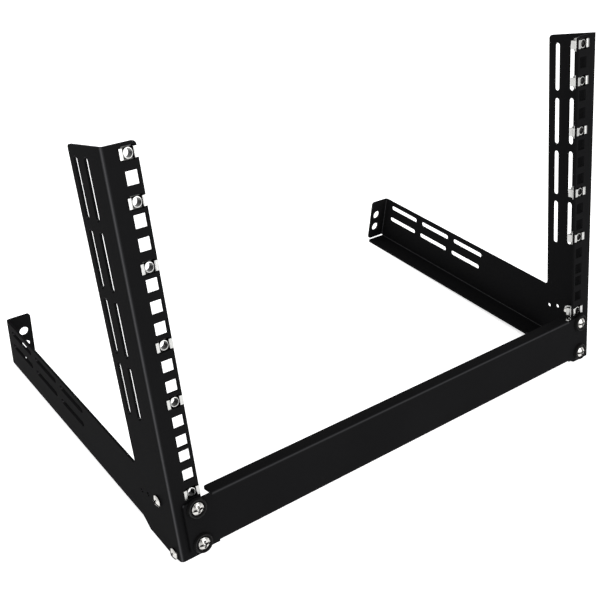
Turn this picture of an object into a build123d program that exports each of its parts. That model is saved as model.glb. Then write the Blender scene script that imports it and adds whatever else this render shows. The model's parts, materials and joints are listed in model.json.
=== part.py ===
"""Open frame desktop rack: two folded side frames, a channel across the front and its hardware.

Every piece is drawn in the frame of the rails first. There X runs across the rack, Y runs back
from the front face of the rails, Z runs up the rails, and Z is 0 at the bottom of the lowest
rack unit. The rails lean back from the arms, so the finished pieces are turned about X until
the arms' heels and the front feet stand on the floor.
"""
from build123d import *
from math import atan2, cos, degrees, radians, sin
import os

# Rack standard
unit_height = 44.45
rack_units = 6
hole_column_spacing = 465.1
hole_offsets = (unit_height / 7, unit_height / 2, unit_height * 6 / 7)
square_hole = 9.5

# Folded sheet
sheet = 2.0
bend_radius = 3.0
edge_radius = 3.0

# Side frames
column_to_side = 19.25
rail_width = 26.2
rail_depth = 49.5
rail_drop = 49.2
rail_rise = 0.8
lean = 16.0
arm_length = 302.0
arm_top = 5.0
arm_bottom = -46.2
arm_flange_width = 26.2
rear_flange_width = 24.5
foot_drop = 4.5
foot_end = 34.0
flange_start = 46.0
inside_corner_radius = 3.5

# Slots in the side frames
slot_width = 5.5
slot_length = 43.5
rail_slot_columns = (24.4, 40.5)
rail_slot_top = 238.5
rail_slot_pitch = 50.0
rail_slot_rows = 4
arm_slot_levels = (-2.6, -17.5)
arm_slot_last = 268.0
arm_slot_pitch = 51.4
arm_slot_count = 3

# Small holes in the side frames
wall_hole = 9.6
wall_hole_inset = 16.0
wall_hole_levels = (-13.0, -28.9)
pilot_hole = 4.0
pilot_hole_places = ((37.0, -2.2), (47.2, -2.9))

# Channel across the front
crossbar_overhang = 11.0
crossbar_lip_inset = 26.5
crossbar_lip_depth = 14.0
crossbar_hole = 7.0

# Cage nuts, counted from the top hole of a rail
cage_nut_holes = (1, 3, 6, 10, 13, 18)
cage_sheet = 0.7
cage_width = 15.6
cage_height = 11.4
cage_depth = 5.6
cage_opening = 9.0
cage_claw = 3.0
ear_width = 2.3
ear_height = 7.4
ear_inset = 0.2
cage_clearance = 0.1
nut_size = 10.6
nut_thickness = 3.6
nut_collar = 7.6
nut_collar_rise = 2.6
nut_chamfer = 1.0
thread_core = 5.0

# Screws, washers and plain nuts
screw_head = 10.4
screw_head_height = 3.2
head_edge = 0.4
screw_length = 16.0
thread_clearance = 0.05
cup_base = 17.4
cup_lip = 15.4
cup_height = 3.0
cup_floor = 1.0
cup_wall = 0.8
cup_clearance = 0.15
cup_rim = 0.6
cup_hole_clearance = 0.6
side_screw_places = ((21.0, -1.2), (9.9, -44.8))
side_screw_head = 9.6
side_screw_head_height = 3.2
side_screw_length = 10.0
side_screw_hole = 5.4
hex_nut = 8.0
hex_nut_thickness = 4.0

# Worked out from the sizes above
rail_column = hole_column_spacing / 2
half_width = rail_column + column_to_side
highest_unit = rack_units * unit_height
rail_top = highest_unit + rail_rise
lean_rad = radians(lean)
foot_bottom = arm_bottom - foot_drop
rest_pitch = degrees(atan2(foot_drop, arm_length - foot_end))
crossbar_back = -cage_sheet - cage_clearance
crossbar_face = crossbar_back - sheet
crossbar_height = unit_height
crossbar_half = rail_column + crossbar_overhang
lip_half = crossbar_half - crossbar_lip_inset


def along_arm(y, z):
    """Turn a place on the leaning rail into distance along the arm and height above its zero."""
    return (y * cos(lean_rad) + z * sin(lean_rad), z * cos(lean_rad) - y * sin(lean_rad))


def hole_heights(count_from_top):
    """Height of a rail hole, counted from 1 at the top of the rail."""
    unit, place = divmod(count_from_top - 1, len(hole_offsets))
    return highest_unit - (unit + 1) * unit_height + hole_offsets[-1 - place]


def rail_holes():
    """Heights of all rail holes, the unit behind the channel included."""
    return [hole_heights(k) for k in range(1, (rack_units + 1) * len(hole_offsets) + 1)]


def channel_holes():
    """Heights of the two rail holes that hold the channel."""
    lowest_unit = (rack_units + 1) * len(hole_offsets)
    return (hole_heights(lowest_unit - 2), hole_heights(lowest_unit))


def lean_back(shape):
    """Turn a piece from the frame of the rails to the frame of the arms."""
    return Rot(X=-lean) * shape


def block(x0, x1, y0, y1, z0, z1):
    """Box between two corners."""
    size = (x1 - x0, y1 - y0, z1 - z0)
    centre = ((x0 + x1) / 2, (y0 + y1) / 2, (z0 + z1) / 2)
    return Pos(*centre) * Box(*size)


def web_outline():
    """Side view of the flat web, kept back by the bend radius wherever a flange is folded."""
    rear_top = along_arm(rail_depth, rail_top)
    corner_height = (arm_top + rail_depth * sin(lean_rad)) / cos(lean_rad)
    corner = along_arm(rail_depth, corner_height)
    foot_front_y = (-foot_bottom - rail_drop * cos(lean_rad)) / sin(lean_rad)
    points = [
        along_arm(bend_radius, -rail_drop),
        along_arm(bend_radius, rail_top),
        rear_top,
        corner,
        (arm_length - bend_radius, arm_top),
        (arm_length - bend_radius, arm_bottom + bend_radius),
        (flange_start, arm_bottom + bend_radius),
        (foot_end, foot_bottom),
        along_arm(foot_front_y, -rail_drop),
    ]
    face = make_face(Polyline(*points, close=True))
    face = fillet(nearest_corner(face, corner), inside_corner_radius)
    return fillet(nearest_corner(face, rear_top), edge_radius)


def nearest_corner(face, place):
    """Corner of a flat face nearest to a place."""
    return face.vertices().sort_by_distance(Vector(*place, 0))[0]


def slot_cutter(length, width):
    """Rounded slot that cuts through the web, lying along Y."""
    outline = Plane.YZ * SlotOverall(length, width)
    return extrude(outline, 2 * sheet, both=True)


def web_slots():
    """Slots of the rail in four rows of two, and of the arm in two rows of three."""
    cutters = []
    for row in range(rail_slot_rows):
        for column in rail_slot_columns:
            place = Pos(0, column, rail_slot_top - row * rail_slot_pitch)
            cutters.append(lean_back(place * Rot(X=90) * slot_cutter(slot_length, slot_width)))
    for number in range(arm_slot_count):
        for level in arm_slot_levels:
            place = Pos(0, arm_slot_last - number * arm_slot_pitch, level)
            cutters.append(place * slot_cutter(slot_length, slot_width))
    return cutters


def round_cutters(places, diameter):
    """Round holes through the web at places given in the frame of the rails."""
    drill = Rot(Y=90) * Cylinder(diameter / 2, 4 * sheet)
    return [lean_back(Pos(0, y, z) * drill) for y, z in places]


def folded_edge(flange_width, length):
    """Bend and flange along Z: the web would lie on X 0 towards +Y, the flange on Y 0."""
    inner = bend_radius - sheet
    turn = Pos(bend_radius, bend_radius)
    ring = turn * (Circle(bend_radius) - Circle(inner)) if inner > 0 else turn * Circle(bend_radius)
    corner = Pos(bend_radius / 2, bend_radius / 2) * Rectangle(bend_radius, bend_radius)
    flat_width = flange_width - bend_radius
    flat = Pos(bend_radius + flat_width / 2, sheet / 2) * Rectangle(flat_width, sheet)
    shape = extrude((ring & corner) + flat, length)
    free_corners = shape.edges().filter_by(Axis.Y).group_by(Axis.X)[-1]
    return fillet(free_corners, edge_radius)


def front_flange():
    """Rail flange with its square holes."""
    flange = Pos(0, 0, -rail_drop) * folded_edge(rail_width, rail_drop + rail_top)
    hole_x = half_width - rail_column
    for height in rail_holes():
        flange -= Pos(hole_x, sheet / 2, height) * Box(square_hole, 2 * sheet, square_hole)
    return lean_back(flange)


def arm_flange():
    """Flange along the bottom of the arm, from behind the foot to the rear corner."""
    end = arm_length - bend_radius
    return Pos(0, end, arm_bottom) * Rot(X=90) * folded_edge(arm_flange_width, end - flange_start)


def rear_flange():
    """Upright flange at the rear end of the arm, with its wall holes."""
    height = arm_top - arm_bottom - bend_radius
    flange = Pos(0, arm_length, arm_top) * Rot(X=180) * folded_edge(rear_flange_width, height)
    for level in wall_hole_levels:
        drill = Rot(X=90) * Cylinder(wall_hole / 2, 4 * sheet)
        flange -= Pos(wall_hole_inset, arm_length, level) * drill
    return flange


def left_side_frame():
    """One folded side frame, its outer face at X 0 and its flanges towards +X."""
    shape = extrude(Plane.YZ * web_outline(), sheet)
    shape += front_flange()
    shape += arm_flange()
    shape += rear_flange()
    shape -= web_slots()
    shape -= round_cutters(pilot_hole_places, pilot_hole)
    shape -= round_cutters(side_screw_places, side_screw_hole)
    return Pos(-half_width, 0, 0) * shape


def crossbar():
    """Folded channel whose face laps over both rails and whose lips point back."""
    lip = folded_edge(crossbar_lip_depth, 2 * lip_half)
    upper = Plane(origin=(lip_half, crossbar_face, 0), x_dir=(0, 1, 0), z_dir=(-1, 0, 0)) * lip
    lower_start = (-lip_half, crossbar_face, -crossbar_height)
    lower = Plane(origin=lower_start, x_dir=(0, 1, 0), z_dir=(1, 0, 0)) * lip
    flat_top = -bend_radius
    flat_bottom = bend_radius - crossbar_height
    shape = block(-lip_half, lip_half, crossbar_face, crossbar_back, flat_bottom, flat_top)
    right_end = crossbar_end()
    shape += [upper, lower, right_end, mirror(right_end, Plane.YZ)]
    for side in (-1, 1):
        for height in channel_holes():
            drill = Rot(X=90) * Cylinder(crossbar_hole / 2, 6 * sheet)
            shape -= Pos(side * rail_column, crossbar_face, height) * drill
    return lean_back(shape)


def crossbar_end():
    """Flat end of the channel's face that laps over the right rail."""
    plate = block(lip_half, crossbar_half, crossbar_face, crossbar_back, -crossbar_height, 0)
    return fillet(plate.edges().filter_by(Axis.Y).group_by(Axis.X)[-1], edge_radius)


def cage():
    """Spring steel cage behind the rail, with two ears hooked over the front of its hole."""
    front = sheet + cage_clearance
    half = cage_width / 2
    half_height = cage_height / 2
    half_ear = ear_height / 2
    shape = block(-half, half, front, front + cage_sheet, -half_height, half_height)
    shape -= Box(cage_opening, 4 * front, cage_opening)
    ear_root = square_hole / 2 - ear_inset
    for side in (-1, 1):
        outer = sorted((side * half, side * (half - cage_sheet)))
        shape += block(*outer, front, front + cage_depth, -half_ear, half_ear)
        claw = sorted((side * half, side * (half - cage_claw)))
        back = front + cage_depth
        shape += block(*claw, back - cage_sheet, back, -half_ear, half_ear)
        strip = sorted((side * ear_root, side * (ear_root - cage_sheet)))
        shape += block(*strip, -cage_sheet - cage_clearance, front + cage_sheet, -half_ear, half_ear)
        ear = sorted((side * (ear_root - cage_sheet), side * (ear_root + ear_width)))
        ear_front = -cage_sheet - cage_clearance
        shape += block(*ear, ear_front, ear_front + cage_sheet, -half_ear, half_ear)
    return shape


def captive_nut():
    """Square nut that floats in the cage, with a round collar that reaches into the hole."""
    front = sheet + 2 * cage_clearance + cage_sheet
    plate = block(-nut_size / 2, nut_size / 2, front, front + nut_thickness, -nut_size / 2, nut_size / 2)
    plate = chamfer(plate.edges().filter_by(Axis.Y), nut_chamfer)
    collar = Pos(0, front - nut_collar_rise / 2, 0) * Rot(X=90) * Cylinder(nut_collar / 2, nut_collar_rise)
    bore = Rot(X=90) * Cylinder(thread_core / 2, 6 * front)
    return plate + collar - bore


def cage_nut(side, height):
    """Cage and captive nut together, at a hole of the rail on one side."""
    pieces = Compound(children=[cage(), captive_nut()])
    return lean_back(Pos(side * rail_column, 0, height) * pieces)


def pan_head(diameter, height):
    """Screw head with a low sloping top, its flat face at Z 0 and its top towards +Z."""
    radius = diameter / 2
    rim = height * head_edge
    shoulder = (radius * 0.75, rim + (height - rim) * 0.55)
    crown = (radius * 0.4, height)
    outline = Polyline((0, 0), (radius, 0), (radius, rim), shoulder, crown, (0, height), close=True)
    return revolve(Plane.XZ * make_face(outline), Axis.Z)


def screw(head, head_height, length):
    """Pan head screw along Z with its head's underside at Z 0."""
    shank = Pos(0, 0, -length / 2) * Cylinder(thread_core / 2 - thread_clearance, length)
    return pan_head(head, head_height) + shank


def cup_washer():
    """Cup washer along Z with its base at Z 0, wide at the base and narrow at the lip."""
    profile = make_face(
        Polyline(
            (thread_core / 2 + cup_hole_clearance, 0),
            (cup_base / 2, 0),
            (cup_base / 2, cup_rim),
            (cup_lip / 2, cup_height),
            (cup_lip / 2 - cup_wall, cup_height),
            (screw_head / 2 + cup_clearance, cup_floor),
            (thread_core / 2 + cup_hole_clearance, cup_floor),
            close=True,
        )
    )
    return revolve(Plane.XZ * profile, Axis.Z)


def front_fastener(shape, side, height, stand):
    """Put a piece drawn along Z on the channel's face, pointing forwards."""
    place = Pos(side * rail_column, crossbar_face - stand, height) * Rot(X=90)
    return lean_back(place * shape)


def side_fastener(shape, side, place, stand):
    """Put a piece drawn along Z on the outside of a web, pointing outwards."""
    y, z = place
    turned = Rot(Y=90) * shape
    on_right = lean_back(Pos(half_width + stand, y, z) * turned)
    return on_right if side > 0 else mirror(on_right, Plane.YZ)


def plain_nut():
    """Hexagon nut along Z with its seat at Z 0, reaching towards -Z."""
    body = extrude(RegularPolygon(hex_nut / 2, 6, major_radius=False), -hex_nut_thickness)
    return body - Cylinder(thread_core / 2, 4 * hex_nut_thickness)


def build_pieces():
    """All pieces by name, in the frame of the arms."""
    pieces = {"side_frame_left": left_side_frame(), "crossbar": crossbar()}
    pieces["side_frame_right"] = mirror(pieces["side_frame_left"], Plane.YZ)
    for name, side in (("left", -1), ("right", 1)):
        heights = [hole_heights(k) for k in cage_nut_holes] + list(channel_holes())
        for number, height in enumerate(heights, 1):
            pieces[f"cage_nut_{name}_{number}"] = cage_nut(side, height)
        for place, height in zip(("upper", "lower"), channel_holes()):
            washer = front_fastener(cup_washer(), side, height, 0)
            bolt = screw(screw_head, screw_head_height, screw_length)
            pieces[f"cup_washer_{name}_{place}"] = washer
            pieces[f"rack_screw_{name}_{place}"] = front_fastener(bolt, side, height, cup_floor)
        for place, spot in zip(("upper", "lower"), side_screw_places):
            bolt = screw(side_screw_head, side_screw_head_height, side_screw_length)
            pieces[f"side_screw_{name}_{place}"] = side_fastener(bolt, side, spot, 0)
            pieces[f"side_nut_{name}_{place}"] = side_fastener(plain_nut(), side, spot, -sheet)
    return pieces


def resting_place(pieces):
    """Turn and shift that set the frame on the floor, with the origin under its middle."""
    tip = Rot(X=-rest_pitch)
    box = Compound(children=[tip * shape for shape in pieces.values()]).bounding_box()
    return Pos(-box.center().X, -box.center().Y, -box.min.Z) * tip


def main():
    """Write one STEP file for each piece."""
    os.makedirs("parts", exist_ok=True)
    pieces = build_pieces()
    stand = resting_place(pieces)
    for name, shape in pieces.items():
        export_step(stand * shape, f"parts/{name}.step")


main()
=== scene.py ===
"""Looks of the open frame desktop rack, laid out as an add-on and run as a script.

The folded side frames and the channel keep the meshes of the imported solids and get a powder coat.
The screws, washers and nuts are drawn again as finer surfaces in the place of their solids.
Sizes are in metres. Pieces are drawn across, back and up the leaning rails.
"""
import json
import math

import bmesh
import bpy
import numpy as np
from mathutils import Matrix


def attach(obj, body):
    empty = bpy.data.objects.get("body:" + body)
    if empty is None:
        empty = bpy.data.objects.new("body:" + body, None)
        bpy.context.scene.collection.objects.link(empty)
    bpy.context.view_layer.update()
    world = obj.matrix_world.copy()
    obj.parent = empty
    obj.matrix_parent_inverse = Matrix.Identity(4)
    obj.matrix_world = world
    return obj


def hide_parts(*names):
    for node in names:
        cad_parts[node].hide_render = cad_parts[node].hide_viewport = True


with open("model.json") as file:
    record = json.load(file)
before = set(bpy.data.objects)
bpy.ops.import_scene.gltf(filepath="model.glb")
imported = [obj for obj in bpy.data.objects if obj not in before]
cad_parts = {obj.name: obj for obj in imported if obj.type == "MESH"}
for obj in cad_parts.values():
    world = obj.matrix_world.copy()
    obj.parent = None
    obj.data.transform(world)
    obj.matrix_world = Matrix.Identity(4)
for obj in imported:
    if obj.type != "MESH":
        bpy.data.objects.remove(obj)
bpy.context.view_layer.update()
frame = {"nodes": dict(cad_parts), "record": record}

bl_info = {
    "name": "Open frame desktop rack",
    "version": (1, 0, 0),
    "blender": (4, 5, 0),
    "location": "View3D > Sidebar > Rack",
    "description": "Finishes, screws, washers and nuts of an open frame desktop rack",
    "category": "Object",
}

FOLDED_SHEET = ("side_frame_left", "side_frame_right", "crossbar")
MOUNTS = {mount["name"]: mount for mount in frame["record"]["mounts"]}

# Samples round a screw or side nut, round a washer or captive nut, and rows in one turn of a thread
AROUND = 48
FINE_AROUND = 96
THREAD_ROWS = 6

# Points nearer than this are merged, and an edge with a larger angle than this is sharp
MERGED = 1e-7
SHARP = math.radians(38)

# Screws: height of the head, core radius of both kinds, start of the thread below the seat, and
# length of the shank's narrowed end
HEAD_HEIGHT = 0.0032
RACK_CORE = 0.00245
SIDE_CORE = 0.00205
THREAD_START = 0.0002
SHANK_END = 0.0005

# Cup washer: (radius, height) in millimetres round its section, which goes from the bore along the
# base, up the wall, over the lip and down the cup, and the rounding of the section's corners
CUP_SECTION = ((3.1, 0.0), (8.7, 0.0), (8.7, 0.6), (7.7, 3.0), (6.9, 3.0), (5.35, 1.0), (3.1, 1.0))
CUP_ROUNDING = 0.0003

# Painted highlight on the lip of the cup washers, a pale band where light glints: how deep it ends, and the
# length over which it fades
LIP_GLINT_DEPTH = 0.0009
LIP_GLINT_FADE = 0.0005

# Side nuts: half the width across the flats, and radius of the thread's ridges and grooves
SIDE_NUT_HALF = 0.004
SIDE_NUT_RIDGE = 0.0021
SIDE_NUT_GROOVE = 0.0025

# Cages: depth behind the rail, reach and half height of an ear, outer side of the ear's leg in the
# hole, length that turns in behind the nut, half height of the window, and inset of the bars' ends
CAGE_DEPTH = 0.0056
EAR_REACH = 0.00685
EAR_HALF_HEIGHT = 0.0037
EAR_LEG = 0.00455
CLAW = 0.0030
WINDOW_HALF_HEIGHT = 0.0034
BAR_INSET = 0.0003

# Captive nuts: thickness, height of the collar, gap between cage and nut, and rounding of the edges
NUT_THICKNESS = 0.0036
COLLAR_HEIGHT = 0.0026
NUT_GAP = 0.0001
NUT_ROUNDING = 0.0003

# Rings of the floor and samples round it
FLOOR_RINGS = 24
FLOOR_AROUND = 96

# Where x, y and z of a drawing go, across, back and up, for each way that its z may point
TURNS = {
    "forwards": ((1, 0, 0), (0, 0, 1), (0, -1, 0)),
    "back": ((1, 0, 0), (0, 0, -1), (0, 1, 0)),
    "left": ((0, -1, 0), (0, 0, 1), (-1, 0, 0)),
    "right": ((0, 1, 0), (0, 0, 1), (1, 0, 0)),
}


def mount_axis(name):
    """Unit vector along the axis of a mount."""
    axis = np.array(MOUNTS[name]["axis"], float)
    return axis / np.linalg.norm(axis)


def rail_axes():
    """Unit vectors across the rack, back through the rails and up the leaning rails, as rows."""
    across = np.array((1.0, 0.0, 0.0))
    back = -mount_axis("rail_nut_left_1")
    return np.array([across, back, np.cross(across, back)])


def arm_axes():
    """Unit vectors back along the arms and up from them, as rows."""
    up = -mount_axis("arm_underside_left")
    return np.array([np.cross(up, (1.0, 0.0, 0.0)), up])


AXES = rail_axes()
ARM_AXES = arm_axes()


def local_box(node):
    """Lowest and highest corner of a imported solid, measured across, back and up the rails."""
    mesh = frame["nodes"][node].data
    points = np.zeros(len(mesh.vertices) * 3, np.float32)
    mesh.vertices.foreach_get("co", points)
    points = points.reshape(-1, 3).astype(float) @ AXES.T
    return points.min(0), points.max(0)


def nodes_named(start):
    """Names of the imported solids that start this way, in order."""
    names = sorted(name for name in frame["nodes"] if name.startswith(start))
    if not names:
        raise RuntimeError(f"the packed model has no node whose name starts with {start}")
    return names


def length(name, text, default):
    """Property for a size in metres."""
    return bpy.props.FloatProperty(
        name=name, description=text, default=default, min=0.0, unit="LENGTH", subtype="DISTANCE",
        precision=5)


def share(name, text, default):
    """Property for a share between nothing and all."""
    return bpy.props.FloatProperty(
        name=name, description=text, default=default, min=0.0, max=1.0, subtype="FACTOR")


def colour(name, text, default):
    """Property for a colour."""
    return bpy.props.FloatVectorProperty(
        name=name, description=text, default=default, size=3, min=0.0, max=1.0, subtype="COLOR")


def strength(name, text, default, unit="NONE"):
    """Property for a brightness or a power."""
    return bpy.props.FloatProperty(name=name, description=text, default=default, min=0.0, unit=unit)


class RackFinishes(bpy.types.PropertyGroup):
    """Colours and surface quality of the four finishes."""

    powder: colour("Powder coat", "Colour of the powder coat on the folded sheet", (0.0053, 0.0053, 0.0056))
    powder_roughness: share("Powder roughness", "How matt the powder coat is", 0.38)
    # Painted highlight: a paler colour along the middle of each bend, where light would glint on the satin
    # coat
    bend_highlight: colour(
        "Bend gloss", "Colour of the powder coat along the middle of a bend", (0.055, 0.055, 0.058))
    powder_gloss: share("Powder gloss", "How much light the powder coat mirrors", 0.002)
    peel_size: length("Orange peel", "Distance between the bumps of the powder coat", 0.0014)
    zinc: colour("Zinc plate", "Colour of the cage nuts and side nuts", (0.44, 0.44, 0.43))
    zinc_roughness: share("Zinc roughness", "How matt the zinc plate is", 0.24)
    nickel: colour("Nickel plate", "Colour of the screws", (0.54, 0.53, 0.51))
    nickel_roughness: share("Nickel roughness", "How matt the nickel plate is", 0.18)
    nylon: colour("Black nylon", "Colour of the cup washers", (0.004, 0.004, 0.004))
    nylon_roughness: share("Nylon roughness", "How matt the nylon is", 0.42)


class RackHardware(bpy.types.PropertyGroup):
    """Sizes of the screws and nuts."""

    rack_thread: length("Rack thread", "Outer diameter of the rack screws' thread", 0.006)
    rack_pitch: length("Rack pitch", "Advance of the rack screws' thread in one turn", 0.001)
    side_thread: length("Side thread", "Outer diameter of the side screws' thread", 0.0049)
    side_pitch: length("Side pitch", "Advance of the side screws' thread in one turn", 0.0008)
    head_edge: share("Head edge", "Share of a screw head's height that is straight wall", 0.4)
    recess_span: share("Recess span", "Width of the cross recess, as a share of the head's", 0.62)
    recess_slot: share("Recess slot", "Width of one arm of the cross, as a share of the head's", 0.19)
    recess_depth: share("Recess depth", "Depth of the cross recess, as a share of the head's height", 0.66)
    slot_depth: share("Slot depth", "Depth of the slot, as a share of the head's height", 0.60)
    spring_sheet: length("Spring sheet", "Thickness of the cage nuts' sheet", 0.0007)
    bend: length("Bend", "Radius of the bends in the cage nuts' sheet", 0.0006)
    nut_collar: length("Collar", "Diameter of the round collar on a captive nut", 0.0076)
    nut_body: length("Captive nut", "Width of a captive nut across its flats", 0.0106)


class RackStage(bpy.types.PropertyGroup):
    """Floor, light and camera."""

    floor: length("Floor", "Radius of the floor", 4.0)
    floor_colour: colour("Floor colour", "Colour of the floor", (0.90, 0.90, 0.90))
    floor_glow: strength("Floor glow", "Light the floor gives off, which keeps shadows faint", 0.72)
    horizon: strength("Horizon", "Brightness of the room round the horizon, white from 1.25", 1.25)
    surroundings: strength("Surroundings", "Brightness of the room overhead", 0.10)
    overhead: strength("Overhead light", "Power of the large overhead light", 85.0, "POWER")
    side_light: strength("Side light", "Power of the light to the left of the rack", 3.0, "POWER")
    front_light: strength("Front light", "Power of the light in front of the rack", 60.0, "POWER")
    camera_place: bpy.props.FloatVectorProperty(
        name="Camera place", description="Where the camera stands", default=(-0.48751, -0.53124, 0.52807),
        size=3, unit="LENGTH", subtype="XYZ")
    camera_turn: bpy.props.FloatVectorProperty(
        name="Camera turn", description="How the camera is turned",
        default=tuple(math.radians(angle) for angle in (51.87491, -2.02369, -35.63034)),
        size=3, unit="ROTATION", subtype="EULER")
    lens: bpy.props.FloatProperty(
        name="Lens", description="Focal length on a sensor 36 mm wide, in millimetres", default=52.068,
        min=1.0)
    shift: bpy.props.FloatVectorProperty(
        name="Shift", description="Sideways and upward shift of the lens, as shares of the picture",
        default=(0.09795, 0.14141), size=2)


class Signal:
    """A node's output that adds a Math node for each operation written with it."""

    def __init__(self, graph, socket):
        self.graph = graph
        self.socket = socket

    def math(self, operation, *values, clamp=False):
        """Math node on these values."""
        settings = {"operation": operation, "use_clamp": clamp}
        return self.graph.add("ShaderNodeMath", settings, dict(enumerate(values)))

    def __add__(self, other):
        return self.math("ADD", self, other)

    def __radd__(self, other):
        return self.math("ADD", other, self)

    def __sub__(self, other):
        return self.math("SUBTRACT", self, other)

    def __rsub__(self, other):
        return self.math("SUBTRACT", other, self)

    def __mul__(self, other):
        return self.math("MULTIPLY", self, other)

    def __rmul__(self, other):
        return self.math("MULTIPLY", other, self)

    def __truediv__(self, other):
        return self.math("DIVIDE", self, other)

    def __rtruediv__(self, other):
        return self.math("DIVIDE", other, self)

    def __pow__(self, other):
        return self.math("POWER", self, other)

    def __rpow__(self, other):
        return self.math("POWER", other, self)

    def __abs__(self):
        return self.math("ABSOLUTE", self)

    def limited(self):
        """The same value kept between 0 and 1."""
        return self.math("ADD", self, 0.0, clamp=True)

    def larger(self, other):
        """The larger of this value and another."""
        return self.math("MAXIMUM", self, other)


class Graph:
    """Node tree of a material or of the world."""

    def __init__(self, tree):
        self.tree = tree

    def feed(self, node, sockets):
        """Set or link a node's sockets."""
        for name, value in sockets.items():
            if isinstance(value, Signal):
                self.tree.links.new(value.socket, node.inputs[name])
            else:
                node.inputs[name].default_value = value

    def add(self, kind, settings=None, sockets=None, output=0):
        """Add a node: its settings first, then the values or links of its sockets."""
        node = self.tree.nodes.new(kind)
        for name, value in (settings or {}).items():
            setattr(node, name, value)
        self.feed(node, sockets or {})
        return Signal(self, node.outputs[output])

    def mix_colour(self, factor, first, second):
        """Colour between two colours."""
        return self.add("ShaderNodeMix", {"data_type": "RGBA"}, {0: factor, 6: first, 7: second}, 2)

    def scaled(self, vector, factors):
        """Vector multiplied part by part."""
        return self.add("ShaderNodeVectorMath", {"operation": "MULTIPLY"}, {0: vector, 1: factors})

    def dot(self, first, second):
        """Dot product of two vectors."""
        sockets = {0: first, 1: second}
        return self.add("ShaderNodeVectorMath", {"operation": "DOT_PRODUCT"}, sockets, "Value")

    def noise(self, vector, size, detail, roughness):
        """Noise between 0 and 1 whose bumps are about a size apart."""
        sockets = {"Vector": vector, "Scale": 1.0 / size, "Detail": detail, "Roughness": roughness}
        return self.add("ShaderNodeTexNoise", None, sockets)

    def softened(self, radius):
        """Normal that turns towards the neighbouring face within a radius of an edge."""
        return self.add("ShaderNodeBevel", {"samples": 6}, {"Radius": radius})

    def bump(self, height, distance, amount, **normal):
        """Normal of a surface, or of a given normal, with bumps that rise by a distance."""
        return self.add("ShaderNodeBump", None,
                        {"Height": height, "Distance": distance, "Strength": amount, **normal})

    def turned_away(self, normal):
        """How far a softened normal turns away from the face: 0 on a flat, more near an edge."""
        face = self.add("ShaderNodeNewGeometry", None, None, "True Normal")
        return 1.0 - self.dot(normal, face)

    def off_axes(self, axes):
        """How far a face looks away from every one of these axes: 0 along one, 1 halfway between two."""
        face = self.add("ShaderNodeNewGeometry", None, None, "Normal")
        along = [abs(self.dot(face, axis)) for axis in axes]
        nearest = along[0]
        for other in along[1:]:
            nearest = nearest.larger(other)
        return ((1.0 - nearest) / (1 - math.sqrt(0.5))).limited()

    def crevice(self, reach):
        """How much a place is shut in by surfaces nearer than a reach: 0 in the open, 1 deep inside."""
        return 1.0 - self.add("ShaderNodeAmbientOcclusion", {"samples": 8}, {"Distance": reach}, "AO")


def rgba(values):
    """Colour with full alpha."""
    return (*values, 1.0)


def new_material(name):
    """Empty material with its graph, its shader node and the object coordinates."""
    material = bpy.data.materials.new(name)
    material.use_nodes = True
    graph = Graph(material.node_tree)
    shader = next(node for node in material.node_tree.nodes if node.type == "BSDF_PRINCIPLED")
    place = graph.add("ShaderNodeTexCoord", None, None, "Object")
    return material, graph, shader, place


def powder_coat(finishes):
    """Satin black powder coat: orange peel over softened edges, faint clouds and specks of dust, and
    glossier along the bends, with a painted highlight there that turns its colour paler."""
    material, graph, shader, place = new_material("satin_powder_coat")
    peel = graph.noise(place, finishes.peel_size, detail=2.0, roughness=0.45)
    grit = graph.noise(place, finishes.peel_size * 0.3, detail=1.0, roughness=0.5)
    clouds = graph.noise(place, 0.09, detail=3.0, roughness=0.55)
    dust = graph.noise(place, 0.012, detail=4.0, roughness=0.7)
    speck = ((dust - 0.66) * 6.0).limited()
    # Painted highlight: the colour turns paler towards the middle of each bend, as where light glints on it.
    # The same mask also makes the bends a little glossier.
    bent = graph.off_axes((*AXES, *ARM_AXES)) ** 1.4
    relief = peel * 0.75 + grit * 0.25
    paler_with_highlight = (clouds * 0.05 + speck * 0.05 + bent).limited()
    graph.feed(shader, {
        "Base Color": graph.mix_colour(paler_with_highlight, rgba(finishes.powder), rgba(finishes.bend_highlight)),
        "Roughness": finishes.powder_roughness + (clouds - 0.5) * 0.12 + speck * 0.12 - bent * 0.06,
        "Specular IOR Level": finishes.powder_gloss,
        "Normal": graph.bump(relief, distance=0.00006, amount=0.35, Normal=graph.softened(0.0006)),
    })
    return material


def plated(name, base, roughness, grain):
    """Plated metal: fine grain drawn out across the rack, faint cloudy tarnish, and painted shade, a darker
    colour where other surfaces shut it in, as in the bores and the corners."""
    material, graph, shader, place = new_material(name)
    drawn = graph.noise(graph.scaled(place, (0.25, 1.0, 1.0)), grain, detail=3.0, roughness=0.6)
    clouds = graph.noise(place, 0.004, detail=2.0, roughness=0.5)
    # Painted shade: the colour darkens where other surfaces shut a place in, as shade falls in the bores,
    # recesses and corners
    crevice_shade = graph.crevice(reach=0.007)
    tarnish_and_shade = ((clouds - 0.45) * 0.5 + (crevice_shade - 0.12) * 3.2).limited()
    # Dark colour of both the faint tarnish and the painted shade
    dark_tarnish_and_shade = rgba([value * 0.08 for value in base])
    graph.feed(shader, {
        "Base Color": graph.mix_colour(tarnish_and_shade, rgba(base), dark_tarnish_and_shade),
        "Metallic": 1.0,
        "Roughness": roughness + (drawn - 0.5) * 0.16 + (clouds - 0.5) * 0.12,
        "Normal": graph.bump(drawn, distance=0.00002, amount=0.25),
    })
    return material


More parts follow.
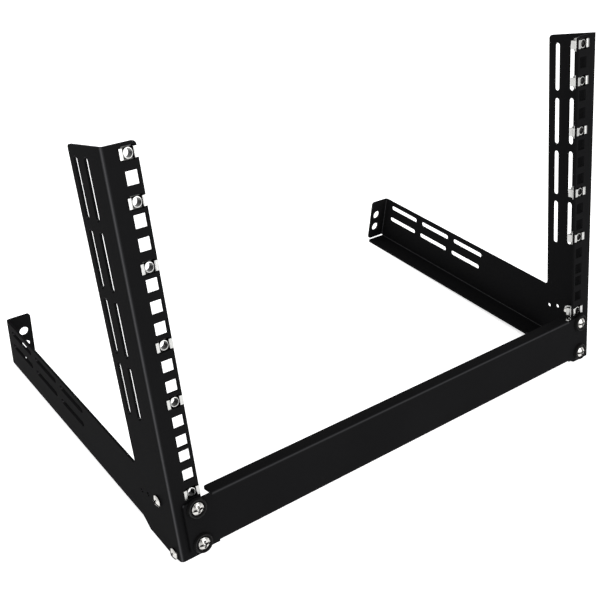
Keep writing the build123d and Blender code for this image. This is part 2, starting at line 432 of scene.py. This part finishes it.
def moulded_nylon(finishes, lip):
    """Black nylon: fine matt texture from the mould, and a painted highlight along the edges of the cup's
    lip, where its colour turns paler.

    The lip's front lies at this depth, measured back through the rails.
    """
    material, graph, shader, place = new_material("moulded_black_nylon")
    texture = graph.noise(place, 0.0005, detail=2.0, roughness=0.6)
    clouds = graph.noise(place, 0.006, detail=2.0, roughness=0.5)
    depth = graph.dot(place, AXES[1])
    # Painted highlight: the edges of the lip, within a band at its front, get a paler colour, as where light
    # glints on them
    at_lip = ((lip + LIP_GLINT_DEPTH - depth) / LIP_GLINT_FADE).limited()
    rim = graph.turned_away(graph.softened(0.0003)) * at_lip * 20.0
    paler_with_highlight = (clouds * 0.03 + rim).limited()
    # Colour of the painted highlight on the lip
    pale = rgba([value * 8.0 + 0.06 for value in finishes.nylon])
    graph.feed(shader, {
        "Base Color": graph.mix_colour(paler_with_highlight, rgba(finishes.nylon), pale),
        "Roughness": finishes.nylon_roughness + (texture - 0.5) * 0.2,
        "Specular IOR Level": 0.02,
        "Normal": graph.bump(texture, distance=0.00004, amount=0.4),
    })
    return material


def pale_floor(stage):
    """Plain pale floor with very faint clouds, which gives off some light."""
    material, graph, shader, place = new_material("pale_floor")
    clouds = graph.noise(place, 0.6, detail=2.0, roughness=0.5)
    darker = rgba([value * 0.985 for value in stage.floor_colour])
    graph.feed(shader, {
        "Base Color": graph.mix_colour(clouds, rgba(stage.floor_colour), darker),
        "Roughness": 0.8,
        "Specular IOR Level": 0.1,
        "Emission Color": rgba((1.0, 1.0, 1.0)),
        "Emission Strength": stage.floor_glow,
    })
    return material


def material_once(name, make, *values):
    """The named material, made the first time it is asked for."""
    return bpy.data.materials.get(name) or make(*values)


def zinc_plate(finishes):
    """Bright zinc plate of the nuts."""
    name, grain = "bright_zinc", 0.0004
    return material_once(name, plated, name, tuple(finishes.zinc), finishes.zinc_roughness, grain)


def bright_nickel(finishes):
    """Bright nickel plate of the screws."""
    name, grain = "bright_nickel", 0.0003
    return material_once(name, plated, name, tuple(finishes.nickel), finishes.nickel_roughness, grain)


def shell(rings, joined=False):
    """Closed skin over a stack of rings.

    Point (i, j) of the grid is sample j of ring i, and each ring closes on itself. The two ends are
    closed by a point in the middle of the ring, or joined to each other.
    """
    count, around = rings.shape[:2]
    index = np.arange(count * around).reshape(count, around)
    if joined:
        here, there = index, np.roll(index, -1, axis=0)
    else:
        here, there = index[:-1], index[1:]
    quads = np.stack([here, np.roll(here, -1, 1), np.roll(there, -1, 1), there], -1).reshape(-1, 4)
    points = rings.reshape(-1, 3)
    faces = quads.tolist()
    if not joined:
        first = np.full(around, count * around)
        faces += np.stack([np.roll(index[0], -1), index[0], first], -1).tolist()
        faces += np.stack([index[-1], np.roll(index[-1], -1), first + 1], -1).tolist()
        points = np.vstack([points, rings[0].mean(0), rings[-1].mean(0)])
    return points, faces


def make_piece(node, skins, finish):
    """One object from closed skins along the rails' axes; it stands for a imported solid."""
    name = f"fine_{node}"
    points, faces, used = [], [], 0
    for skin_points, skin_faces in skins:
        points.append(skin_points)
        faces += [[corner + used for corner in face] for face in skin_faces]
        used += len(skin_points)
    mesh = bpy.data.meshes.new(name)
    mesh.from_pydata((np.vstack(points) @ AXES).tolist(), [], faces)
    merged = bmesh.new()
    merged.from_mesh(mesh)
    bmesh.ops.remove_doubles(merged, verts=merged.verts, dist=MERGED)
    bmesh.ops.recalc_face_normals(merged, faces=merged.faces)
    merged.to_mesh(mesh)
    merged.free()
    mesh.shade_smooth()
    mesh.set_sharp_from_angle(angle=SHARP)
    mesh.materials.append(finish)
    piece = bpy.data.objects.new(name, mesh)
    bpy.context.scene.collection.objects.link(piece)
    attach(piece, "root")
    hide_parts(node)


def full_turn(samples):
    """Angles of the samples round a full turn, as one row."""
    return np.linspace(0, 2 * np.pi, samples, endpoint=False)[None]


def polar(radius, angle, height):
    """Points (r cos a, r sin a, h) of radii, angles and heights that span one grid."""
    radius, angle, height = np.broadcast_arrays(radius, angle, height)
    return np.stack([radius * np.cos(angle), radius * np.sin(angle), height], -1)


def round_corners(points, radius, closed):
    """Polyline whose corners are rounded.

    Each corner P between neighbours A and B becomes the curve (1-t)^2 S + 2t(1-t) P + t^2 E, where S
    and E lie on the two sides, a radius away from P or half the side where that is shorter.
    """
    steps = 4
    before, after = np.roll(points, 1, 0), np.roll(points, -1, 0)
    to_before, to_after = before - points, after - points
    reach_before = np.linalg.norm(to_before, axis=1, keepdims=True)
    reach_after = np.linalg.norm(to_after, axis=1, keepdims=True)
    cut = np.minimum(radius, 0.5 * np.minimum(reach_before, reach_after))
    start = points + to_before / np.maximum(reach_before, 1e-12) * cut
    end = points + to_after / np.maximum(reach_after, 1e-12) * cut
    t = np.linspace(0, 1, steps + 1)[None, :, None]
    curve = (1 - t) ** 2 * start[:, None] + 2 * t * (1 - t) * points[:, None] + t**2 * end[:, None]
    if closed:
        return curve.reshape(-1, points.shape[1])
    inner = curve[1:-1].reshape(-1, points.shape[1])
    return np.vstack([points[:1], inner, points[-1:]])


def thread(angle, along, pitch, inner, outer):
    """Radius of a right-handed screw thread: inner + (outer - inner) * ridge, where the ridge goes up and
    down once for each turn of along / pitch - angle / 2 pi and has narrow flats at its top and bottom."""
    flat = 0.12
    turn = np.mod(along / pitch - angle / (2 * np.pi), 1.0)
    ridge = np.clip((np.abs(2 * turn - 1) - flat) / (1 - 2 * flat), 0.0, 1.0)
    return inner + (outer - inner) * ridge


def head_angles(radius, slot):
    """Angles of the samples round a screw head, one row for each radius, and which lie in the cross.

    Each quarter turn is centred on one arm of the cross. Its samples keep to both sides of the
    arm's walls, which lie at asin(slot / 2 / radius), so the walls stay straight on a polar grid.
    Half of the samples lie between the walls, and no wall lies further out than the widest angle.
    """
    quarter = AROUND // 4
    widest = 0.62
    wall = 0.5
    last, first = wall - 1 / quarter, wall + 1 / quarter
    step = ((np.arange(quarter) + 0.5) / quarter * 2 - 1)[None]
    edge = np.arcsin(np.clip(slot / 2 / np.maximum(radius, 1e-9), 0, math.sin(widest)))[:, None]
    foot, lip = 0.95 * edge, 1.05 * edge
    inside = step / last * foot
    outside = np.sign(step) * (lip + (np.abs(step) - first) / (1 - first) * (np.pi / 4 - lip))
    local = np.where(np.abs(step) < wall, inside, outside)
    quarters = np.arange(4)[None, :, None] * np.pi / 2
    return (local[:, None, :] + quarters).reshape(len(edge), AROUND), np.tile(np.abs(step[0]) < wall, 4)


def head_rows(radius, turn, sizes):
    """Rings over the top of a screw head, and the angles of the outermost one.

    The top is the dome z = h - D + sqrt(D^2 - r^2), less a cross recess, whose depth falls with the
    radius, and less a level slot along one arm of the cross, which runs out close to the rim. The
    slot lies at the angle turn. The arms meet in a round core. Two rings stand close to the core's
    wall, one on either side, and two to the wall at the arms' ends, so both walls are steep.
    """
    rise = HEAD_HEIGHT * (1 - sizes.head_edge)
    dome = (radius**2 + rise**2) / (2 * rise)
    span = radius * sizes.recess_span
    slot = 2 * radius * sizes.recess_slot
    core = slot * 0.78
    shallower = 0.62
    radii = np.concatenate([
        np.linspace(0.15, 0.95, 4) * core, np.linspace(1.05 * core, span * 0.97, 6), [span * 1.03],
        np.linspace(span * 1.15, radius * 0.97, 6)])
    angles, in_cross = head_angles(radii, slot)
    top = HEAD_HEIGHT - dome + np.sqrt(dome**2 - radii**2)
    fall = np.clip(1 - shallower * radii / span, 0, 1)
    cut = np.where(radii < span, sizes.recess_depth * HEAD_HEIGHT * fall, 0.0)
    inside = (radii[:, None] < core) | in_cross[None]
    in_slot = in_cross & (np.arange(AROUND) // (AROUND // 4) % 2 == 0)
    level = np.where(in_slot, HEAD_HEIGHT * (1 - sizes.slot_depth), HEAD_HEIGHT)
    heights = np.minimum(top[:, None] - cut[:, None] * inside, level)
    return polar(radii[:, None], angles + turn, heights), angles[-1:] + turn


def shank_rows(angles, shank, inner, outer, pitch):
    """Rings down a shank: the thread's radius, which fades to the inner one at both ends, times a
    factor that falls to the tip's share of it along the shank's end."""
    tip = 0.8
    count = int(round((shank - THREAD_START) / pitch * THREAD_ROWS))
    along = np.linspace(-THREAD_START, -shank, count)[:, None]
    to_end, from_start = along + shank, -along - THREAD_START
    fade = np.clip(to_end / (1.2 * pitch), 0, 1) * np.clip(from_start / pitch, 0, 1)
    radius = inner + (thread(angles, along, pitch, inner, outer) - inner) * fade
    return polar(radius * (tip + (1 - tip) * np.clip(to_end / SHANK_END, 0, 1)), angles, along)


def screw_skin(head_radius, shank, inner, outer, pitch, turn, sizes):
    """Pan head screw, its seat at 0, its head towards +z and its end at -shank.

    Below the top of the head come its rounded rim, its wall, the chamfer at the wall's foot, the
    seat and the neck, as a profile of (radius, height), and then the thread.
    """
    top, angles = head_rows(head_radius, turn, sizes)
    rim = HEAD_HEIGHT * sizes.head_edge
    chamfer, neck = 0.0002, 0.0004
    profile = np.array([
        (head_radius * 0.995, rim + 0.4 * chamfer), (head_radius, rim - 0.5 * chamfer),
        (head_radius, 1.25 * chamfer), (head_radius - chamfer, 0.0),
        (inner + neck, 0.0), (inner, -0.25 * neck)])
    side = polar(profile[:, :1], angles, profile[:, 1:])
    return shell(np.concatenate([top, side, shank_rows(angles, shank, inner, outer, pitch)]))


def outline_radius(angle, flats, half_width, corner):
    """Radius of a nut's outline: half_width / cos of the angle to the nearest flat, but no more than
    the corner radius."""
    step = 2 * np.pi / flats
    nearest = np.mod(angle + step / 2, step) - step / 2
    return np.minimum(half_width / np.cos(nearest), corner)


def turned_skin(profile):
    """Closed ring skin: each point (radius, height) of a closed profile turned about the z axis."""
    return shell(polar(profile[:, :1], full_turn(FINE_AROUND), profile[:, 1:]), joined=True)


def threaded_bore(angle, low, high, pitch, inner, outer):
    """Rings of a threaded hole from its low end up to its high one: the thread's radius, which grows
    to the outer one and a little more over the length of each mouth."""
    mouth, flare = 0.0004, 0.0001
    count = max(8, int(round((high - low) / pitch * THREAD_ROWS)))
    along = np.linspace(low, high, count)[:, None]
    radius = thread(angle, along, pitch, inner, outer)
    inwards = (high - low) / 2 - np.abs(along - (low + high) / 2)
    opened = np.clip(1 - inwards / mouth, 0, 1)
    return polar(radius + (outer + flare - radius) * opened, angle, along)


def side_nut_skin(thickness, pitch):
    """Hexagon nut from its seat at 0 down to -thickness, round a threaded hole.

    The corners lie on a cone from each face: their radius is that of the face's circle plus the
    slope times the depth below the face, which turns them off at 30 degrees.
    """
    turned, slope = 0.0005, 1.73
    angle = full_turn(AROUND)
    depth = np.concatenate([np.linspace(0, turned, 5), np.linspace(thickness - turned, thickness, 5)])
    corner = SIDE_NUT_HALF * 0.97 + slope * np.minimum(depth, thickness - depth)
    radius = outline_radius(angle, 6, SIDE_NUT_HALF, corner[:, None])
    outside = polar(radius, angle, -depth[:, None])
    hole = threaded_bore(angle, -thickness, 0.0, pitch, SIDE_NUT_RIDGE, SIDE_NUT_GROOVE)
    return shell(np.concatenate([outside, hole]), joined=True)


def captive_nut_skin(front, sizes):
    """Square nut with a round collar, along z: rings change from the collar's circle to the square
    outline on the nut's front face, go round its edge and come back through a plain bore, which is
    a little wider than the thread."""
    bore_rows, play = 8, 0.0001
    angle = full_turn(FINE_AROUND)
    half = sizes.nut_body / 2
    circle = sizes.nut_collar / 2 + 0 * angle
    square = outline_radius(angle, 4, half, half * 1.31)
    back, tip = front + NUT_THICKNESS, front - COLLAR_HEIGHT
    edge, near, foot = NUT_ROUNDING, 0.3 * NUT_ROUNDING, 0.0002
    rings = [
        (circle - edge, tip), (circle - near, tip + near), (circle, tip + edge),
        (circle, front - foot), (circle + foot, front),
        (square - edge, front), (square - near, front + near), (square, front + edge),
        (square, back - edge), (square - near, back - near), (square - edge, back)]
    radius = np.concatenate([ring for ring, height in rings])
    height = np.array([[height] for ring, height in rings])
    outside = polar(radius, angle, height)
    hole = polar(sizes.rack_thread / 2 + play, angle, np.linspace(back, tip, bore_rows)[:, None])
    return shell(np.concatenate([outside, hole]), joined=True)


def strip_skin(path, half_height, thickness, corner):
    """Strip of sheet carried along a bent path in the plane across and back.

    The section is a rounded rectangle: its thickness lies along the path's normal and its height
    goes up the rail. Each corner is rounded by four points, from one side to the other.
    """
    step = np.gradient(path, axis=0)
    step /= np.linalg.norm(step, axis=1, keepdims=True)
    normal = np.stack([-step[:, 1], step[:, 0]], -1)
    low = corner * 0.3
    half = thickness / 2
    across = np.array([half, half, half - low, half - corner, -half + corner, -half + low, -half, -half])
    inset = np.array([corner, low * 1.2, low * 0.5, 0, 0, low * 0.5, low * 1.2, corner])
    height = half_height - inset
    across = np.concatenate([across, across[::-1]])
    height = np.concatenate([height, -height[::-1]])
    flat = path[:, None] + normal[:, None] * across[None, :, None]
    height = np.broadcast_to(height[None, :, None], (*flat.shape[:2], 1))
    return shell(np.concatenate([flat, height], -1))


def cage_path(side, half_width, ear_front, face, rear, sizes):
    """Centre line of one side of a cage, seen from above: from the ear over the front of the rail,
    back through the hole, out along the cage's face, back along its side and in behind the nut."""
    half = sizes.spring_sheet / 2
    leg, wall = EAR_LEG - half, half_width - half
    corners = np.array([
        (EAR_REACH, ear_front + half), (leg, ear_front + half), (leg, face + half), (wall, face + half),
        (wall, rear - half), (half_width - CLAW, rear - half)])
    corners[:, 0] *= side
    return round_corners(corners, sizes.bend, False)


def moved(skin, place):
    """A skin moved across, back and up."""
    points, faces = skin
    return points + place, faces


def turned_to(skin, axis, seat):
    """A skin drawn along z, turned so that z points along a signed axis of the rails, and seated."""
    points, faces = skin
    return moved((points @ np.array(TURNS[axis], float), faces), seat)


def cage_nut_skins(node, sizes):
    """Skins of one cage nut, fitted to the extents of its solid: two bent strips, two bars above and
    below the window between them, and the captive nut."""
    low, high = local_box(node)
    middle = (low + high) / 2
    half_width = (high[0] - low[0]) / 2
    half_height = (high[2] - low[2]) / 2
    front, rear = low[1], high[1]
    face = rear - CAGE_DEPTH
    sheet = sizes.spring_sheet
    corner = sheet * 0.3
    bar_points = 6
    bar = np.stack([np.linspace(-half_width + BAR_INSET, half_width - BAR_INSET, bar_points),
                    np.full(bar_points, face + sheet / 2)], -1)
    bar_half = (half_height - WINDOW_HALF_HEIGHT) / 2
    skins = []
    for side in (-1, 1):
        path = cage_path(side, half_width, front, face, rear, sizes)
        skins.append(strip_skin(path, EAR_HALF_HEIGHT, sheet, corner))
    for side in (-1, 1):
        skins.append(moved(strip_skin(bar, bar_half, sheet * 0.94, corner),
                           (0, 0, side * (WINDOW_HALF_HEIGHT + bar_half))))
    skins.append(turned_to(captive_nut_skin(face + sheet + NUT_GAP, sizes), "back", (0, 0, 0)))
    return [moved(skin, (middle[0], 0, middle[2])) for skin in skins]


def screw_pieces(context, start, axis, width, pitch, core, turn):
    """Screws in the place of their solids, with their heads towards an axis."""
    sizes = context.scene.rack_hardware
    nickel = bright_nickel(context.scene.rack_finishes)
    along = 1 if axis == "forwards" else 0
    for node in nodes_named(start):
        low, high = local_box(node)
        head_radius = (high[2] - low[2]) / 2
        shank = high[along] - low[along] - HEAD_HEIGHT
        seat = (low + high) / 2
        seat[along] = high[along] - HEAD_HEIGHT if axis == "right" else low[along] + HEAD_HEIGHT
        skin = screw_skin(head_radius, shank, core, width / 2, pitch, turn, sizes)
        make_piece(node, [turned_to(skin, axis, seat)], nickel)


class RACK_OT_stage(bpy.types.Operator):
    """Lay the pale floor, hang the soft lights and set up the camera"""

    bl_idname = "rack.stage"
    bl_label = "Stage"

    def execute(self, context):
        stage = context.scene.rack_stage
        self.lay_floor(context, stage)
        self.surround(context, stage)
        self.light(context, stage)
        self.aim(context, stage)
        return {"FINISHED"}

    def lay_floor(self, context, stage):
        """Disc of floor on rings whose radius grows with the square of the step."""
        radius = (np.linspace(0.05, 1, FLOOR_RINGS)[:, None] ** 2) * stage.floor
        rings = polar(radius, full_turn(FLOOR_AROUND), 0.0)
        index = np.arange(FLOOR_RINGS * FLOOR_AROUND).reshape(FLOOR_RINGS, FLOOR_AROUND)
        here, there = index[:-1], index[1:]
        quads = np.stack([here, there, np.roll(there, -1, 1), np.roll(here, -1, 1)], -1).reshape(-1, 4)
        mesh = bpy.data.meshes.new("floor")
        mesh.from_pydata(rings.reshape(-1, 3).tolist(), [], quads.tolist() + [index[0].tolist()])
        mesh.materials.append(material_once("pale_floor", pale_floor, stage))
        floor = bpy.data.objects.new("floor", mesh)
        context.scene.collection.objects.link(floor)

    def surround(self, context, stage):
        """Room that is pale round the horizon and dim overhead, with the change between the two over
        a range of the upward part of the direction."""
        pale_up_to, change = 0.2, 0.5
        world = bpy.data.worlds.new("studio")
        context.scene.world = world
        world.use_nodes = True
        graph = Graph(world.node_tree)
        sight = graph.add("ShaderNodeTexCoord", None, None, "Generated")
        upwards = graph.add("ShaderNodeSeparateXYZ", None, {0: sight}, 2)
        overhead = ((upwards - pale_up_to) / change).limited()
        pale = graph.add("ShaderNodeBackground", None, {"Strength": stage.horizon})
        dim = graph.add("ShaderNodeBackground", None, {"Strength": stage.surroundings})
        sky = graph.add("ShaderNodeMixShader", None, {0: overhead, 1: pale, 2: dim})
        end = next(node for node in world.node_tree.nodes if node.type == "OUTPUT_WORLD")
        graph.feed(end, {"Surface": sky})

    def light(self, context, stage):
        """Three soft square lights, and colours shown as they are."""
        # Name, power, width, place and turn
        lights = (
            ("overhead_light", stage.overhead, 5.0, (0.2, 0.3, 3.0), (0.0, 0.0, 0.0)),
            ("side_light", stage.side_light, 0.5, (-1.15, -0.85, 0.42), (1.30, 0.0, -0.93)),
            ("front_light", stage.front_light, 2.4, (0.9, -2.8, 1.5), (1.126, 0.0, 0.311)),
        )
        for name, power, width, place, turn in lights:
            lamp = bpy.data.lights.new(name, "AREA")
            lamp.energy = power
            lamp.size = width
            holder = bpy.data.objects.new(name, lamp)
            holder.location = place
            holder.rotation_euler = turn
            context.scene.collection.objects.link(holder)
        context.scene.view_settings.view_transform = "Standard"

    def aim(self, context, stage):
        """Camera at the photograph's angle."""
        lens = bpy.data.cameras.new("camera")
        lens.lens = stage.lens
        lens.sensor_width = 36.0
        lens.shift_x, lens.shift_y = stage.shift
        camera = bpy.data.objects.new("camera", lens)
        camera.location = stage.camera_place
        camera.rotation_euler = stage.camera_turn
        context.scene.collection.objects.link(camera)
        context.scene.camera = camera


class RACK_OT_powder_coat(bpy.types.Operator):
    """Give the folded side frames and the channel their black powder coat"""

    bl_idname = "rack.powder_coat"
    bl_label = "Powder coat"

    def execute(self, context):
        coat = material_once("satin_powder_coat", powder_coat, context.scene.rack_finishes)
        for name in FOLDED_SHEET:
            for holder in frame["nodes"][name].material_slots:
                holder.material = coat
        return {"FINISHED"}


class RACK_OT_cup_washers(bpy.types.Operator):
    """Draw the black cup washers under the rack screws"""

    bl_idname = "rack.cup_washers"
    bl_label = "Cup washers"

    def execute(self, context):
        washers = nodes_named("cup_washer")
        lip = float(min(local_box(node)[0][1] for node in washers))
        nylon = material_once("moulded_black_nylon", moulded_nylon, context.scene.rack_finishes, lip)
        skin = turned_skin(round_corners(0.001 * np.array(CUP_SECTION), CUP_ROUNDING, True))
        for node in washers:
            low, high = local_box(node)
            seat = (low + high) / 2
            seat[1] = high[1]
            make_piece(node, [turned_to(skin, "forwards", seat)], nylon)
        return {"FINISHED"}


class RACK_OT_rack_screws(bpy.types.Operator):
    """Draw the four screws that hold the channel"""

    bl_idname = "rack.rack_screws"
    bl_label = "Rack screws"

    def execute(self, context):
        sizes = context.scene.rack_hardware
        screw_pieces(context, "rack_screw", "forwards", sizes.rack_thread, sizes.rack_pitch, RACK_CORE, 0.0)
        return {"FINISHED"}


class RACK_OT_side_screws(bpy.types.Operator):
    """Draw the screws in the sides of the frames"""

    bl_idname = "rack.side_screws"
    bl_label = "Side screws"

    def execute(self, context):
        sizes = context.scene.rack_hardware
        for side, degrees in (("left", 135), ("right", 45)):
            screw_pieces(context, f"side_screw_{side}", side, sizes.side_thread, sizes.side_pitch, SIDE_CORE,
                         math.radians(degrees))
        return {"FINISHED"}


class RACK_OT_side_nuts(bpy.types.Operator):
    """Draw the hexagon nuts on the side screws"""

    bl_idname = "rack.side_nuts"
    bl_label = "Side nuts"

    def execute(self, context):
        pitch = context.scene.rack_hardware.side_pitch
        zinc = zinc_plate(context.scene.rack_finishes)
        for side in ("left", "right"):
            for node in nodes_named(f"side_nut_{side}"):
                low, high = local_box(node)
                seat = (low + high) / 2
                seat[0] = low[0] if side == "left" else high[0]
                skin = side_nut_skin(high[0] - low[0], pitch)
                make_piece(node, [turned_to(skin, side, seat)], zinc)
        return {"FINISHED"}


class RACK_OT_cage_nuts(bpy.types.Operator):
    """Draw the cage nuts in the rails"""

    bl_idname = "rack.cage_nuts"
    bl_label = "Cage nuts"

    def execute(self, context):
        zinc = zinc_plate(context.scene.rack_finishes)
        for node in nodes_named("cage_nut"):
            make_piece(node, cage_nut_skins(node, context.scene.rack_hardware), zinc)
        return {"FINISHED"}


PIECES = (RACK_OT_stage, RACK_OT_powder_coat, RACK_OT_cup_washers, RACK_OT_rack_screws,
          RACK_OT_side_screws, RACK_OT_side_nuts, RACK_OT_cage_nuts)


class RACK_PT_panel(bpy.types.Panel):
    """Sizes, finishes and pieces of the rack"""

    bl_idname = "RACK_PT_panel"
    bl_label = "Rack"
    bl_space_type = "VIEW_3D"
    bl_region_type = "UI"
    bl_category = "Rack"

    def draw(self, context):
        for settings in (context.scene.rack_finishes, context.scene.rack_hardware, context.scene.rack_stage):
            box = self.layout.box()
            for name in settings.__annotations__:
                box.prop(settings, name)
        for operator in PIECES:
            self.layout.operator(operator.bl_idname)


CLASSES = (RackFinishes, RackHardware, RackStage, *PIECES, RACK_PT_panel)


def register():
    """Add the classes and the settings to the scene type."""
    for item in CLASSES:
        bpy.utils.register_class(item)
    bpy.types.Scene.rack_finishes = bpy.props.PointerProperty(type=RackFinishes)
    bpy.types.Scene.rack_hardware = bpy.props.PointerProperty(type=RackHardware)
    bpy.types.Scene.rack_stage = bpy.props.PointerProperty(type=RackStage)


def unregister():
    """Take the settings and the classes away again."""
    del bpy.types.Scene.rack_stage
    del bpy.types.Scene.rack_hardware
    del bpy.types.Scene.rack_finishes
    for item in reversed(CLASSES):
        bpy.utils.unregister_class(item)


def main():
    """Make every piece in order."""
    register()
    bpy.ops.rack.stage()
    bpy.ops.rack.powder_coat()
    bpy.ops.rack.cup_washers()
    bpy.ops.rack.rack_screws()
    bpy.ops.rack.side_screws()
    bpy.ops.rack.side_nuts()
    bpy.ops.rack.cage_nuts()


if __name__ == "__main__":
    main()
